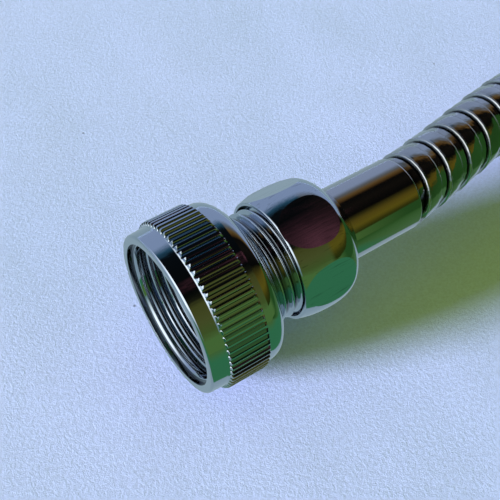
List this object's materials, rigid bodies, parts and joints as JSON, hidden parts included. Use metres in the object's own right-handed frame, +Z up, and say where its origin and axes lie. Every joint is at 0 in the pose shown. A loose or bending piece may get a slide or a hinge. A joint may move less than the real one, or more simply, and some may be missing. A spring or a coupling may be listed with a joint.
{
  "type": "handheld bath sprayer",
  "caption": "Handheld bath sprayer: knurled swivelling tap collar, domed nut, coiled strip-wound metal hose and a hand shower with selector ring and pause slider.",
  "frame": {"origin": "centre of the tap thread's first ring, at the inner end of the plain counterbore in the collar's mouth", "axes": "+X along the tap fitting's axis towards the hose, +Z up, the whole lying on a flat surface at z = -16 mm, +Y to the left looking along +X"},
  "size_m": [0.4086, 0.2151, 0.032],
  "materials": {
    "chrome_plate": "mirror chrome plate over turned brass or moulded plastic",
    "polished_ferrule": "bright polished stainless sleeve",
    "stainless_hose": "satin bright strip-wound stainless steel",
    "stainless_mesh": "fine punched stainless sheet",
    "stainless_steel": "plain bright steel",
    "turned_brass": "fine turned brass",
    "black_rubber": "matt moulded rubber",
    "white_liner": "smooth flexible liner",
    "white_acetal": "moulded acetal",
    "black_abs": "satin moulded ABS",
    "grey_silicone": "soft moulded silicone"
  },
  "bodies": {
    "root": {"inlet_stem": "turned_brass", "inlet_ferrule": "polished_ferrule", "hose_inlet_run": "stainless_hose", "hose_coil": "stainless_hose", "hose_outlet_run": "stainless_hose", "inner_tube": "white_liner", "outlet_ferrule": "polished_ferrule", "outlet_stem": "turned_brass"},
    "inlet_nut": {"dome_nut": "chrome_plate", "adapter_nipple": "chrome_plate", "inlet_washer": "black_rubber", "strainer_disc": "stainless_mesh", "tap_washer": "black_rubber"},
    "tap_collar": {"tap_collar": "chrome_plate"},
    "handset": {"cone_nut": "chrome_plate", "outlet_washer": "black_rubber", "handle_spigot": "chrome_plate", "spigot_oring": "black_rubber", "flow_restrictor": "white_acetal", "rear_tube": "white_acetal", "valve_body": "black_abs", "slider_bezel": "chrome_plate", "front_tube": "white_acetal", "handset_shell": "chrome_plate", "manifold": "white_acetal", "manifold_seal": "black_rubber", "detent_ball": "stainless_steel", "detent_spring": "stainless_steel", "distributor_plate": "white_acetal", "nozzle_mat": "grey_silicone", "spray_plate": "chrome_plate", "centre_screw": "stainless_steel", "centre_cap": "chrome_plate"},
    "selector": {"selector_ring": "black_abs", "diverter_disc": "white_acetal"},
    "slider": {"thumb_slider": "black_abs", "valve_spool": "white_acetal", "spool_orings": "black_rubber"}
  },
  "joints": [
    {"name": "inlet_swivel", "type": "hinge", "parent": "root", "child": "inlet_nut", "pos_m": [0.03, 0, 0], "axis": [1, 0, 0], "continuous": true},
    {"name": "collar_swivel", "type": "hinge", "parent": "inlet_nut", "child": "tap_collar", "pos_m": [0.012, 0, 0], "axis": [1, 0, 0], "continuous": true},
    {"name": "handset_swivel", "type": "hinge", "parent": "root", "child": "handset", "pos_m": [0.1019, -0.1564, -0.003], "axis": [1, 0, 0], "continuous": true},
    {"name": "selector_turn", "type": "hinge", "parent": "handset", "child": "selector", "pos_m": [-0.1033, -0.1564, -0.003], "axis": [0, 0, 1], "range_deg": [0, 60]},
    {"name": "slider_travel", "type": "slide", "parent": "handset", "child": "slider", "axis": [-1, 0, 0], "range_m": [0, 0.008]}
  ]
}
